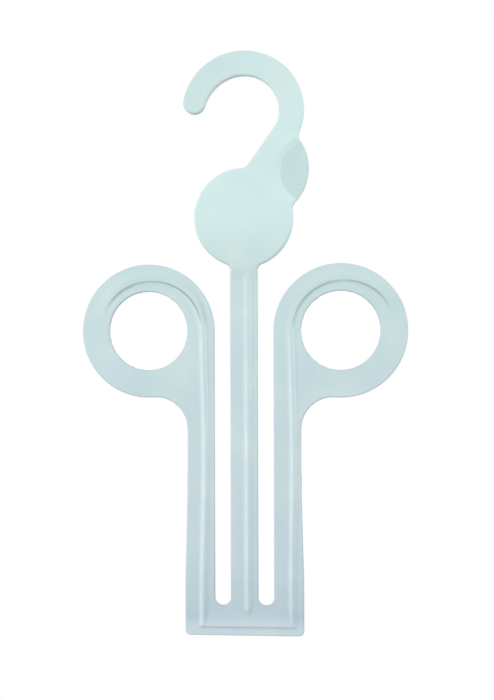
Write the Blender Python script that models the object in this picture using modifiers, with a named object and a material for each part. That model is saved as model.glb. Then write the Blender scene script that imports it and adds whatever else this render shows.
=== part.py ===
"""Sandal hanger: one flat plastic moulding of a pale, icy mint, modelled member by member.

A hook goes over a shop rail. Under it sit a round label disc with a size tab beside its neck, and a
straight stem. The stem ends in a base bar, from which a springy arm rises on each side of it. Each
arm carries a ring, and the slot between arm and stem takes the toe post of a sandal. A low rib runs
along stem, arms, rings and base, on the front and on the back.

Metres, +Z up, front towards -Y. The origin is the inside top of the hook, where the rail carries it.
The members of the moulding stay SEAM apart, and each arm is its own body, sprung about its root.
"""

import math

import bmesh
import bpy

# Thicknesses through the moulding, all centred on its middle plane
PLATE_THICKNESS = 0.0040
FLANGE_THICKNESS = 0.0024
TAB_THICKNESS = 0.0020

# Hook, over a 25 mm rail
HOOK_BORE_RADIUS = 0.0133
HOOK_OUTER_RADIUS = 0.02325
HOOK_BACK_RADIUS = 0.0219
HOOK_TOP_WIDTH = 0.00945
HOOK_TIP_RADIUS = 0.0043

# Label disc, the neck that runs into it, and the size tab beside the neck
DISC_RADIUS = 0.0187
DISC_DROP = 0.0533
NECK_FOOT_OFFSET = 0.0007
TAB_RADIUS = 0.0183
TAB_PROUD = 0.0018
TAB_RISE = 0.0184
TAB_BOW = 0.0046

# Stem, slots and base bar
STEM_WIDTH = 0.0104
SLOT_WIDTH = 0.0059
SLOT_FLOOR_DROP = 0.19875
BASE_WIDTH = 0.0447
BASE_HEIGHT = 0.01135
BASE_CORNER_RADIUS = 0.0019

# Arms and their rings
RING_OUTER_RADIUS = 0.0251
RING_HOLE_RADIUS = 0.0148
RING_DROP = 0.0957
ARM_FILLET_RADIUS = 0.0119
ARM_SEAM_BELOW_FILLET = 0.0010
ARM_FLARE_LENGTH = 0.0380
ARM_FLARE_FOOT_RISE = 0.0060
ARM_ROOT_RADIUS = 0.0070

# Ribs along stem, arms, rings and base, all a little to the right of their members' middles
RIB_WIDTH = 0.0026
RIB_TIP_WIDTH = 0.0018
RIB_FLANK = 0.0008
RIB_SHIFT = 0.0013
RING_RIB_RADIUS = 0.0197
BASE_RIB_RISE = 0.0041
STEM_RIB_TIP_GAP = 0.0006

# Fits and finish
SEAM = 0.0003
EDGE_ROUND = 0.0006
OVERRUN = 0.0020
MERGE = 0.000001

# Angles
FULL_TURN = math.radians(360)
HALF_TURN = math.radians(180)
QUARTER_TURN = math.radians(90)
HOOK_TIP_ANGLE = math.radians(168)
HOOK_MOUTH_ANGLE = math.radians(105)
HOOK_BACK_ANGLE = math.radians(50)
NECK_ANGLE = math.radians(-49)
RING_RIB_END_ANGLE = math.radians(20)
RING_RIB_TAPER_ANGLE = math.radians(28)
ARC_STEP = math.radians(6)
SHARP_ANGLE = math.radians(40)

# Places that follow from the sizes above, as (x, z) in the plane of the moulding
HOOK_BORE_CENTRE = (0, -HOOK_BORE_RADIUS)
HOOK_OUTER_CENTRE = (0, HOOK_TOP_WIDTH - HOOK_OUTER_RADIUS)
HOOK_BACK_SHIFT = HOOK_OUTER_RADIUS - HOOK_BACK_RADIUS
HOOK_BACK_CENTRE = (
    HOOK_BACK_SHIFT * math.cos(HOOK_BACK_ANGLE),
    HOOK_OUTER_CENTRE[1] + HOOK_BACK_SHIFT * math.sin(HOOK_BACK_ANGLE),
)
DISC_CENTRE = (0, -DISC_DROP)
TAB_CENTRE = (
    HOOK_BACK_CENTRE[0] + HOOK_BACK_RADIUS + TAB_PROUD - TAB_RADIUS,
    TAB_RISE - DISC_DROP,
)
SLOT_CENTRE_X = (STEM_WIDTH + SLOT_WIDTH) / 2
ARM_INNER_X = STEM_WIDTH / 2 + SLOT_WIDTH
ARM_OUTER_X = ARM_INNER_X + RING_OUTER_RADIUS - RING_HOLE_RADIUS
ARM_FOOT_X = BASE_WIDTH / 2
RING_CENTRE = (ARM_INNER_X + RING_OUTER_RADIUS, -RING_DROP)
ARM_RIB_X = RING_CENTRE[0] - RING_RIB_RADIUS
PIVOT =((ARM_INNER_X + ARM_FOOT_X) / 2, SLOT_WIDTH / 2 - SLOT_FLOOR_DROP)
BASE_FLOOR_Z = -SLOT_FLOOR_DROP - BASE_HEIGHT
BASE_RIB_Z = BASE_FLOOR_Z + BASE_RIB_RISE
CUTTER_DEPTH = PLATE_THICKNESS + OVERRUN

# Colours of the tinted plastic, which is mintier in the thick plates and bluer down the ribs
MINT = (0.62, 0.80, 0.78, 1)
PALE_MINT = (0.60, 0.77, 0.77, 1)
ICE_BLUE = (0.55, 0.71, 0.76, 1)
DEEP_ICE = (0.52, 0.67, 0.73, 1)


def clear_scene():
    for item in list(bpy.data.objects):
        bpy.data.objects.remove(item, do_unlink=True)


def new_collection(name):
    collection = bpy.data.collections.new(name)
    bpy.context.scene.collection.children.link(collection)
    return collection


def on_circle(centre, radius, angle):
    return (centre[0] + radius * math.cos(angle), centre[1] + radius * math.sin(angle))


def arc(centre, radius, start, end):
    """Points from one angle to the other along a circle, both ends included."""
    steps = max(1, math.ceil(abs(end - start) / ARC_STEP))
    angles = [start + (end - start) * step / steps for step in range(steps + 1)]
    return [on_circle(centre, radius, angle) for angle in angles]


def angle_at(centre, point):
    return math.atan2(point[1] - centre[1], point[0] - centre[0])


def crossing(centre_a, radius_a, centre_b, radius_b, side):
    """Where two circles cross: side 1 is left of the way from a to b, side -1 right of it."""
    apart = math.dist(centre_a, centre_b)
    along = (apart**2 + radius_a**2 - radius_b**2) / (2 * apart)
    across = side * math.sqrt(radius_a**2 - along**2)
    ahead_x = (centre_b[0] - centre_a[0]) / apart
    ahead_z = (centre_b[1] - centre_a[1]) / apart
    return (
        centre_a[0] + along * ahead_x - across * ahead_z,
        centre_a[1] + along * ahead_z + across * ahead_x,
    )


def mirrored(points, side):
    return [(side * x, z) for x, z in points]


def plastic(name, colour):
    material = bpy.data.materials.new(name)
    material.use_nodes = True
    shader = material.node_tree.nodes["Principled BSDF"]
    shader.inputs["Base Color"].default_value = colour
    shader.inputs["Roughness"].default_value = 0.38
    shader.inputs["Metallic"].default_value = 0
    return material


def parent_to(child, parent):
    bpy.context.view_layer.update()
    child.parent = parent
    child.matrix_parent_inverse = parent.matrix_world.inverted()


def plate(name, outlines, thickness, edge, centre, collection):
    """A flat plate in the XZ plane with rounded edges, placed at centre. A second outline is a hole."""
    curve = bpy.data.curves.new(name, "CURVE")
    curve.dimensions = "2D"
    curve.fill_mode = "BOTH"
    curve.extrude = thickness / 2 - edge
    curve.bevel_depth = edge
    curve.bevel_resolution = 1
    curve.offset = -edge
    for outline in outlines:
        spline = curve.splines.new("POLY")
        spline.points.add(len(outline) - 1)
        spline.use_cyclic_u = True
        for point, (x, z) in zip(spline.points, outline):
            point.co = (x - centre[0], z - centre[1], 0, 1)
    guide = bpy.data.objects.new(name + "_outline", curve)
    guide.location = (centre[0], 0, centre[1])
    guide.rotation_euler = (QUARTER_TURN, 0, 0)
    collection.objects.link(guide)
    bpy.context.view_layer.update()
    mesh = bpy.data.meshes.new_from_object(guide.evaluated_get(bpy.context.evaluated_depsgraph_get()))
    solid = bpy.data.objects.new(name, mesh)
    solid.matrix_world = guide.matrix_world
    collection.objects.link(solid)
    bpy.data.objects.remove(guide, do_unlink=True)

    shell = bmesh.new()
    shell.from_mesh(mesh)
    bmesh.ops.remove_doubles(shell, verts=shell.verts, dist=MERGE)
    bmesh.ops.recalc_face_normals(shell, faces=shell.faces)
    shell.to_mesh(mesh)
    shell.free()
    mesh.name = name
    mesh.shade_smooth()
    mesh.set_sharp_from_angle(angle=SHARP_ANGLE)
    return solid


def round_plate(name, radius, thickness, centre, collection):
    """A round plate or cutter whose axis lies along Y."""
    sides = math.ceil(FULL_TURN / ARC_STEP)
    bpy.ops.mesh.primitive_cylinder_add(vertices=sides, radius=radius, depth=thickness)
    solid = bpy.context.object
    solid.name = name
    solid.data.name = name
    solid.location = (centre[0], 0, centre[1])
    solid.rotation_euler = (QUARTER_TURN, 0, 0)
    for holder in list(solid.users_collection):
        holder.objects.unlink(solid)
    collection.objects.link(solid)
    solid.data.shade_smooth()
    solid.data.set_sharp_from_angle(angle=SHARP_ANGLE)
    return solid


def round_edges(solid):
    bevel = solid.modifiers.new("rounded edges", "BEVEL")
    bevel.width = EDGE_ROUND
    bevel.segments = 2
    bevel.limit_method = "ANGLE"
    bevel.angle_limit = SHARP_ANGLE


def block(name, low, high, collection):
    """A cutter over the rectangle from low to high, each as (x, z)."""
    bpy.ops.mesh.primitive_cube_add(size=1)
    solid = bpy.context.object
    solid.name = name
    solid.data.name = name
    solid.location = ((low[0] + high[0]) / 2, 0, (low[1] + high[1]) / 2)
    for holder in list(solid.users_collection):
        holder.objects.unlink(solid)
    collection.objects.link(solid)
    solid.scale = (high[0] - low[0], CUTTER_DEPTH, high[1] - low[1])
    return solid


def boolean(solid, helper, operation):
    helper.hide_render = True
    helper.display_type = "WIRE"
    parent_to(helper, solid)
    modifier = solid.modifiers.new(helper.name, "BOOLEAN")
    modifier.operation = operation
    modifier.solver = "EXACT"
    modifier.object = helper


def strip(path, widths):
    """Outline of a strip along a path of (x, z) points, with its width at each point."""
    left = []
    right = []
    for index, (point, width) in enumerate(zip(path, widths)):
        before = path[max(index - 1, 0)]
        after = path[min(index + 1, len(path) - 1)]
        length = math.dist(before, after)
        across_x = -(after[1] - before[1]) / length * width / 2
        across_z = (after[0] - before[0]) / length * width / 2
        left.append((point[0] + across_x, point[1] + across_z))
        right.append((point[0] - across_x, point[1] - across_z))
    return left + right[::-1]


def add_rib(solid, name, outline, centre, cutters):
    """Joins a rib, as thick as the full plates, to both faces of a flange, RIB_SHIFT to the right."""
    outline = [(x + RIB_SHIFT, z) for x, z in outline]
    helper = plate(name, [outline], PLATE_THICKNESS, RIB_FLANK, centre, cutters)
    boolean(solid, helper, "UNION")


def cut_disc_space(solid, cutters):
    name = "disc_space_at_" + solid.name
    space = round_plate(name, DISC_RADIUS + SEAM, CUTTER_DEPTH, DISC_CENTRE, cutters)
    boolean(solid, space, "DIFFERENCE")


def hook_mouth_circle(tip_centre):
    """Centre and radius of the inside arc towards the tip: tangent to the bore and to the round tip."""
    ahead = (math.cos(HOOK_MOUTH_ANGLE), math.sin(HOOK_MOUTH_ANGLE))
    to_tip = (tip_centre[0] - HOOK_BORE_CENTRE[0], tip_centre[1] - HOOK_BORE_CENTRE[1])
    along = to_tip[0] * ahead[0] + to_tip[1] * ahead[1]
    reach = math.hypot(*to_tip)
    radius = (
        HOOK_TIP_RADIUS**2 - reach**2 + 2 * HOOK_BORE_RADIUS * along - HOOK_BORE_RADIUS**2
    ) / (2 * (along - HOOK_BORE_RADIUS - HOOK_TIP_RADIUS))
    shift = radius - HOOK_BORE_RADIUS
    centre = (HOOK_BORE_CENTRE[0] - shift * ahead[0], HOOK_BORE_CENTRE[1] - shift * ahead[1])
    return centre, radius


def tab_corners():
    """The tab runs from the notch under the hook's back down to the label disc."""
    top = crossing(HOOK_BACK_CENTRE, HOOK_BACK_RADIUS, TAB_CENTRE, TAB_RADIUS, 1)
    foot = crossing(DISC_CENTRE, DISC_RADIUS, TAB_CENTRE, TAB_RADIUS, -1)
    return top, foot


def tab_bow_circle():
    """Centre and radius of the edge between neck and tab, which bows into the neck."""
    top, foot = tab_corners()
    half_chord = math.dist(top, foot) / 2
    radius = (half_chord**2 + TAB_BOW**2) / (2 * TAB_BOW)
    middle = ((top[0] + foot[0]) / 2, (top[1] + foot[1]) / 2)
    across = (top[1] - foot[1], foot[0] - top[0])
    reach = (radius - TAB_BOW) / (2 * half_chord)
    return (middle[0] + across[0] * reach, middle[1] + across[1] * reach), radius


def make_hook(parts, cutters):
    """Rail hook, with the neck that runs down its back to the label disc."""
    tip_centre = on_circle(HOOK_OUTER_CENTRE, HOOK_OUTER_RADIUS - HOOK_TIP_RADIUS, HOOK_TIP_ANGLE)
    mouth_centre, mouth_radius = hook_mouth_circle(tip_centre)
    notch, tab_foot = tab_corners()
    neck_top = on_circle(HOOK_BORE_CENTRE, HOOK_BORE_RADIUS, NECK_ANGLE)
    neck_foot = (NECK_FOOT_OFFSET, DISC_CENTRE[1] + math.sqrt(DISC_RADIUS**2 - NECK_FOOT_OFFSET**2))
    past_foot = 1 + OVERRUN / math.dist(neck_top, neck_foot)
    neck_end = tuple(top + (foot - top) * past_foot for top, foot in zip(neck_top, neck_foot))

    outline = arc(HOOK_OUTER_CENTRE, HOOK_OUTER_RADIUS, HOOK_TIP_ANGLE, HOOK_BACK_ANGLE)
    back_end = angle_at(HOOK_BACK_CENTRE, notch)
    outline += arc(HOOK_BACK_CENTRE, HOOK_BACK_RADIUS, HOOK_BACK_ANGLE, back_end)[1:]
    outline += [tab_foot, DISC_CENTRE, neck_end]
    outline += arc(HOOK_BORE_CENTRE, HOOK_BORE_RADIUS, NECK_ANGLE, HOOK_MOUTH_ANGLE)
    mouth_end = angle_at(mouth_centre, tip_centre)
    outline += arc(mouth_centre, mouth_radius, HOOK_MOUTH_ANGLE, mouth_end)[1:]
    tip_start = angle_at(tip_centre, mouth_centre)
    outline += arc(tip_centre, HOOK_TIP_RADIUS, tip_start, HOOK_TIP_ANGLE - FULL_TURN)[1:-1]

    hook = plate("hook", [outline], PLATE_THICKNESS, EDGE_ROUND, HOOK_BORE_CENTRE, parts)
    cut_disc_space(hook, cutters)
    bow_centre, bow_radius = tab_bow_circle()
    tab_space = round_plate("tab_space", bow_radius + SEAM, CUTTER_DEPTH, bow_centre, cutters)
    boolean(hook, tab_space, "DIFFERENCE")
    hook.data.materials.append(plastic("hook_plastic", MINT))


def make_label_disc(parts):
    """Round plate for a price label, at full thickness."""
    disc = round_plate("label_disc", DISC_RADIUS, PLATE_THICKNESS, DISC_CENTRE, parts)
    round_edges(disc)
    disc.data.materials.append(plastic("label_disc_plastic", MINT))


def make_sizer_tab(parts, cutters):
    """Thin lens-shaped tab for a clip-on size marker, recessed between neck and label disc."""
    tab = round_plate("sizer_tab", TAB_RADIUS, TAB_THICKNESS, TAB_CENTRE, parts)
    round_edges(tab)
    bow_centre, bow_radius = tab_bow_circle()
    lens = round_plate("tab_lens", bow_radius, CUTTER_DEPTH, bow_centre, cutters)
    boolean(tab, lens, "INTERSECT")
    cut_disc_space(tab, cutters)
    tab.data.materials.append(plastic("sizer_tab_plastic", PALE_MINT))


def make_stem(parts, cutters):
    """Straight ribbed strip from the label disc down to the base bar."""
    half = STEM_WIDTH / 2
    foot = PIVOT[1] + SEAM
    low = foot - OVERRUN
    high = DISC_CENTRE[1] - DISC_RADIUS + OVERRUN
    outline = [(-half, low), (half, low), (half, high), (-half, high)]
    stem = plate("stem", [outline], FLANGE_THICKNESS, EDGE_ROUND, (0, foot), parts)
    path = [(0, low), (0, high)]
    add_rib(stem, "stem_rib", strip(path, [RIB_WIDTH] * 2), (0, foot), cutters)
    cut_disc_space(stem, cutters)
    below = block("below_stem", (-STEM_WIDTH, low - OVERRUN), (STEM_WIDTH, foot), cutters)
    boolean(stem, below, "DIFFERENCE")
    stem.data.materials.append(plastic("stem_plastic", ICE_BLUE))


def make_base_bar(parts, cutters):
    """Bar along the foot that closes both slots, with a round seat for the root of each arm."""
    corner = (ARM_FOOT_X - BASE_CORNER_RADIUS, BASE_FLOOR_Z + BASE_CORNER_RADIUS)
    tongue_top = PIVOT[1] + OVERRUN
    half = arc(corner, BASE_CORNER_RADIUS, -QUARTER_TURN, 0)
    half += [(ARM_FOOT_X, PIVOT[1])]
    half += arc((SLOT_CENTRE_X, PIVOT[1]), SLOT_WIDTH / 2, 0, -HALF_TURN)
    half += [(STEM_WIDTH / 2, tongue_top)]
    outline = half + mirrored(half, -1)[::-1]
    bar = plate("base_bar", [outline], FLANGE_THICKNESS, EDGE_ROUND, (0, PIVOT[1]), parts)

    half_rib = RIB_WIDTH / 2
    right_side = [
        (PIVOT[0] + half_rib, BASE_RIB_Z - half_rib),
        (PIVOT[0] + half_rib, PIVOT[1]),
        (PIVOT[0] - half_rib, PIVOT[1]),
        (PIVOT[0] - half_rib, BASE_RIB_Z + half_rib),
    ]
    frame_rib = right_side + mirrored(right_side, -1)[::-1]
    add_rib(bar, "base_rib", frame_rib, (0, BASE_RIB_Z), cutters)
    tip = BASE_RIB_Z + half_rib + STEM_RIB_TIP_GAP
    stem_path = [(0, tongue_top), (0, (PIVOT[1] + tip) / 2), (0, tip)]
    stem_end = strip(stem_path, [RIB_WIDTH, RIB_WIDTH, RIB_TIP_WIDTH])
    add_rib(bar, "stem_rib_end", stem_end, (0, tip), cutters)

    for side, label in ((-1, "left"), (1, "right")):
        centre = (side * PIVOT[0], PIVOT[1])
        seat = round_plate(label + "_seat", ARM_ROOT_RADIUS + SEAM, CUTTER_DEPTH, centre, cutters)
        boolean(bar, seat, "DIFFERENCE")
    above = block("above_tongue", (-STEM_WIDTH, PIVOT[1]), (STEM_WIDTH, tongue_top + OVERRUN), cutters)
    boolean(bar, above, "DIFFERENCE")
    bar.data.materials.append(plastic("base_bar_plastic", DEEP_ICE))


def fillet_centre():
    """Centre of the fillet between ring and arm, tangent to the ring's rim and to the arm's outer edge."""
    aside = RING_CENTRE[0] - ARM_OUTER_X - ARM_FILLET_RADIUS
    reach = RING_OUTER_RADIUS + ARM_FILLET_RADIUS
    return (RING_CENTRE[0] - aside, RING_CENTRE[1] - math.sqrt(reach**2 - aside**2))


def make_arm(side, label, hinge, parts, cutters):
    """Springy ribbed arm. Its round root turns in the base bar's seat, centred on the hinge."""
    seam_z = fillet_centre()[1] - ARM_SEAM_BELOW_FILLET - SEAM
    high = seam_z + OVERRUN
    low = PIVOT[1] - ARM_ROOT_RADIUS - OVERRUN
    flare_foot = PIVOT[1] + ARM_FLARE_FOOT_RISE
    flare_top = flare_foot + ARM_FLARE_LENGTH
    outline = [(ARM_INNER_X, high)]
    outline += arc((SLOT_CENTRE_X, PIVOT[1]), SLOT_WIDTH / 2, 0, -QUARTER_TURN)
    outline += [(SLOT_CENTRE_X, low), (ARM_FOOT_X, low)]
    outline += [(ARM_FOOT_X, flare_foot), (ARM_OUTER_X, flare_top), (ARM_OUTER_X, high)]
    outline = mirrored(outline, side)
    centre = (side * PIVOT[0], PIVOT[1])
    arm = plate(label + "_arm", [outline], FLANGE_THICKNESS, EDGE_ROUND, centre, parts)

    path = [(PIVOT[0], low), (PIVOT[0], flare_foot), (ARM_RIB_X, flare_top), (ARM_RIB_X, high)]
    rib_outline = mirrored(strip(path, [RIB_WIDTH] * len(path)), side)
    add_rib(arm, label + "_arm_rib", rib_outline, centre, cutters)

    space = arc(PIVOT, ARM_ROOT_RADIUS, -HALF_TURN, 0)
    space += [(PIVOT[0] + ARM_ROOT_RADIUS, seam_z), (PIVOT[0] - ARM_ROOT_RADIUS, seam_z)]
    space = plate(label + "_arm_space", [mirrored(space, side)], CUTTER_DEPTH, 0, centre, cutters)
    boolean(arm, space, "INTERSECT")
    arm.data.materials.append(plastic(label + "_arm_plastic", ICE_BLUE))
    parent_to(arm, hinge)


def make_ring(side, label, hinge, parts, cutters):
    """Ring head of an arm: flat ring, web and fillet, with a rib that dies out past the top."""
    fillet = fillet_centre()
    seam_z = fillet[1] - ARM_SEAM_BELOW_FILLET
    low = seam_z - OVERRUN
    outline = arc(RING_CENTRE, RING_OUTER_RADIUS, HALF_TURN, angle_at(RING_CENTRE, fillet))
    outline += arc(fillet, ARM_FILLET_RADIUS, angle_at(fillet, RING_CENTRE), HALF_TURN)[1:]
    outline += [(ARM_OUTER_X, low), (ARM_INNER_X, low)]
    hole = arc(RING_CENTRE, RING_HOLE_RADIUS, 0, FULL_TURN - ARC_STEP)
    centre = (side * RING_CENTRE[0], RING_CENTRE[1])
    outlines = [mirrored(outline, side), mirrored(hole, side)]
    ring = plate(label + "_ring", outlines, FLANGE_THICKNESS, EDGE_ROUND, centre, parts)

    bend = arc(RING_CENTRE, RING_RIB_RADIUS, HALF_TURN, RING_RIB_END_ANGLE)
    widths = [RIB_WIDTH]
    for point in bend:
        short_of_end = angle_at(RING_CENTRE, point) - RING_RIB_END_ANGLE
        kept_share = min(1, max(0, short_of_end / RING_RIB_TAPER_ANGLE))
        widths.append(RIB_TIP_WIDTH + (RIB_WIDTH - RIB_TIP_WIDTH) * kept_share)
    path = [(ARM_RIB_X, low)] + bend
    add_rib(ring, label + "_ring_rib", mirrored(strip(path, widths), side), centre, cutters)

    edges = sorted((side * (ARM_INNER_X - OVERRUN), side * (ARM_OUTER_X + OVERRUN)))
    below = block(label + "_below_seam", (edges[0], low - OVERRUN), (edges[1], seam_z), cutters)
    boolean(ring, below, "DIFFERENCE")
    ring.data.materials.append(plastic(label + "_ring_plastic", PALE_MINT))
    parent_to(ring, hinge)


def make_hinge(side, label, parts):
    """Empty on the line about which an arm springs: along Y through the middle of its root."""
    hinge = bpy.data.objects.new(label + "_arm_hinge", None)
    hinge.empty_display_size = ARM_ROOT_RADIUS
    hinge.location = (side * PIVOT[0], 0, PIVOT[1])
    parts.objects.link(hinge)
    return hinge


clear_scene()
hanger_parts = new_collection("sandal_hanger")
hanger_cutters = new_collection("cutters")
make_hook(hanger_parts, hanger_cutters)
make_label_disc(hanger_parts)
make_sizer_tab(hanger_parts, hanger_cutters)
make_stem(hanger_parts, hanger_cutters)
make_base_bar(hanger_parts, hanger_cutters)
for arm_side, arm_label in ((-1, "left"), (1, "right")):
    arm_hinge = make_hinge(arm_side, arm_label, hanger_parts)
    make_arm(arm_side, arm_label, arm_hinge, hanger_parts, hanger_cutters)
    make_ring(arm_side, arm_label, arm_hinge, hanger_parts, hanger_cutters)
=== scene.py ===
import math

import bpy
import numpy as np
from mathutils import Matrix, Vector, kdtree
from mathutils.geometry import delaunay_2d_cdt


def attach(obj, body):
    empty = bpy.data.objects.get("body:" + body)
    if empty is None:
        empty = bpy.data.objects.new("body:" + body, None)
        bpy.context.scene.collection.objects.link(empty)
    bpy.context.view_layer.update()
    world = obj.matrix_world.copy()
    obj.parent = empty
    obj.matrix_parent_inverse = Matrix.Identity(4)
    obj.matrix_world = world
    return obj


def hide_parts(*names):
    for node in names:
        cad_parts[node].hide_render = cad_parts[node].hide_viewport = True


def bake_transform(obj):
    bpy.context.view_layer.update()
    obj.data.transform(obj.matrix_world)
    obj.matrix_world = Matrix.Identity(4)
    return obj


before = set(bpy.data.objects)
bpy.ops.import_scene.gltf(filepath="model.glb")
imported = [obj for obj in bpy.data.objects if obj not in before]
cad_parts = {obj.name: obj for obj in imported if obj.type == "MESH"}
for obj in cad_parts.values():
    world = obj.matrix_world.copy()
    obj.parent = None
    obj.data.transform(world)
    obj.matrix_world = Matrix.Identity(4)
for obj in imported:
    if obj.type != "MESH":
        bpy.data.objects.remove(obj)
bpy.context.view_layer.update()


# Hook
# The rail hook and the neck down its back: the thick, solid top of a single injection moulding in
# tinted polypropylene. Both faces are flat, and the mould leaves a rounded rim with a slight draft.
PLATE_DEPTH = 0.0020
HOOK_BORE_RADIUS = 0.0133
HOOK_OUTER_RADIUS = 0.02325
HOOK_BACK_RADIUS = 0.0219
HOOK_TOP_WIDTH = 0.00945
HOOK_TIP_RADIUS = 0.0043
HOOK_TIP_ANGLE = 168
HOOK_MOUTH_ANGLE = 105
HOOK_BACK_ANGLE = 50
NECK_ANGLE = -49
NECK_FOOT_OFFSET = 0.0007
DISC_RADIUS = 0.0187
DISC_DROP = 0.0533
TAB_RADIUS = 0.0183
TAB_PROUD = 0.0018
TAB_RISE = 0.0184
TAB_BOW = 0.0046
TAB_DEPTH = 0.0010
RECESS_BOW = 0.0081
RECESS_RUN = 0.0034
RECESS_ROW_SHARES = (0.0, 0.2, 0.4, 0.6, 0.8, 1.0)
NECK_EASE = 0.0060
NOTCH_EASE = 0.0022
CORNER_EASE = 0.0011
EASE_STEPS = 4
HOOK_PINS = ((0.0187, 128), (0.0186, 40))
NECK_PIN = 0.0092 - 0.0305j

EDGE_STEP = 0.0008
SEAM_STEP = 0.00025
GRID_STEP = 0.0017
RIM_ROUND_SHARE = 0.45
RIM_ROW_SHARES = (0.08, 0.30, 0.62, 1.0, 1.5)
RIM_ROW_ROOM = 0.97
DRAFT = 0.00004
DRAFT_TILT = 0.04
ROW_SPACING = 0.00003
GRID_SPACING = 0.0009
SLOPE_STEP = 0.00001
MERGE_DISTANCE = 1e-9
TINY = 1e-12
PIN_RADIUS = 0.0015
PIN_DEPTH = 0.00007
PIN_EDGE = 0.00016
PIN_CIRCLE = np.exp(1j * np.radians(np.arange(0, 360, 12)))


def on_circle(centre, radius, angle):
    """A point of the flat outline is one complex number, x + z * 1j, and angles are in degrees."""
    return centre + radius * np.exp(1j * np.radians(angle))


def angle_at(centre, point):
    return math.degrees(np.angle(point - centre))


def line(start, end, step=EDGE_STEP):
    return np.linspace(start, end, max(1, math.ceil(abs(end - start) / step)) + 1)


def arc(centre, radius, start, end):
    steps = max(2, math.ceil(math.radians(abs(end - start)) * radius / EDGE_STEP))
    return on_circle(centre, radius, np.linspace(start, end, steps + 1))


def chain(*stretches):
    """Stretches that follow each other, as one."""
    return np.concatenate([stretches[0]] + [points[1:] for points in stretches[1:]])


def crossing(centre_a, radius_a, centre_b, radius_b, side):
    """Where two circles cross: side 1 is left of the way from a to b, side -1 right of it."""
    apart = abs(centre_b - centre_a)
    along = (apart**2 + radius_a**2 - radius_b**2) / (2 * apart)
    across = side * math.sqrt(radius_a**2 - along**2)
    return centre_a + (along + across * 1j) * (centre_b - centre_a) / apart


def bowed(start, end, bow):
    """The centre and radius of the arc between two points that stands a given bow off their chord."""
    half_chord = abs(start - end) / 2
    radius = (half_chord**2 + bow**2) / (2 * bow)
    return (start + end) / 2 - 1j * (start - end) * (radius - bow) / (2 * half_chord), radius


def seam(points, depth):
    """A path where two members meet, with points near its ends that follow the rounding of the rims."""
    run = np.append(0, np.cumsum(abs(np.diff(points))))
    near_rim = DRAFT + RIM_ROUND_SHARE * depth * np.array(RIM_ROW_SHARES)
    between = run[(run > near_rim[-1]) & (run < run[-1] - near_rim[-1])]
    places = np.concatenate([[0], near_rim, between, run[-1] - near_rim[::-1], [run[-1]]])
    return np.interp(places, run, points.real) + 1j * np.interp(places, run, points.imag)


def eased(before, after, reach):
    """Two stretches that meet in a corner, which a curve softens. They then meet at its middle."""
    corner = before[-1]
    before = before[abs(before - corner) > reach]
    after = after[abs(after - corner) > reach]
    share = np.linspace(0, 1, 2 * EASE_STEPS + 1)
    curve = (1 - share) ** 2 * before[-1] + 2 * share * (1 - share) * corner + share**2 * after[0]
    return chain(before, curve[: EASE_STEPS + 1]), chain(curve[EASE_STEPS:], after)


def nearest(points, path, shares=None):
    """Distance from each point to a path, the way there, and the path's own share at that place."""
    shares = np.ones(len(path)) if shares is None else shares
    gap = np.full(len(points), np.inf)
    way = np.zeros(len(points), complex)
    share = np.zeros(len(points))
    for index in range(len(path) - 1):
        step = path[index + 1] - path[index]
        along = np.clip(((points - path[index]) * step.conjugate()).real / abs(step) ** 2, 0, 1)
        there = path[index] + along * step - points
        closer = abs(there) < gap
        gap = np.where(closer, abs(there), gap)
        way = np.where(closer, there, way)
        share = np.where(closer, shares[index] + along * (shares[index + 1] - shares[index]), share)
    return gap, way, share


def nearest_rim(points, rims):
    """Distance to the closest of several rims, and the way there."""
    gap = np.full(len(points), np.inf)
    way = np.zeros(len(points), complex)
    for rim in rims:
        distance, there, _ = nearest(points, rim)
        way = np.where(distance < gap, there, way)
        gap = np.minimum(gap, distance)
    return gap, way / np.maximum(abs(way), TINY)


def inside(points, loops):
    """Which points lie in the plastic, by counting the edges to the right of each."""
    within = np.zeros(len(points), bool)
    for loop in loops:
        for start, end in zip(loop, np.roll(loop, -1)):
            if start.imag == end.imag:
                continue
            beside = (start.imag > points.imag) != (end.imag > points.imag)
            slant = (end.real - start.real) / (end.imag - start.imag)
            within ^= beside & (points.real < start.real + slant * (points.imag - start.imag))
    return within


def soft_step(share):
    share = np.clip(share, 0, 1)
    return share * share * (3 - 2 * share)


def thinned(kept, points, spacing):
    """The points that keep their distance from those kept already and from each other."""
    tree = kdtree.KDTree(len(kept))
    for index, point in enumerate(kept):
        tree.insert((point.real, point.imag, 0), index)
    tree.balance()
    cells = {}
    chosen = []
    for point in points:
        if tree.find((point.real, point.imag, 0))[2] < spacing:
            continue
        column, row = int(point.real // spacing), int(point.imag // spacing)
        around = [cells.get((column + x, row + z)) for x in (-1, 0, 1) for z in (-1, 0, 1)]
        if all(other is None or abs(other - point) > spacing for other in around):
            cells[column, row] = point
            chosen.append(point)
    return np.array(chosen, complex)


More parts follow.
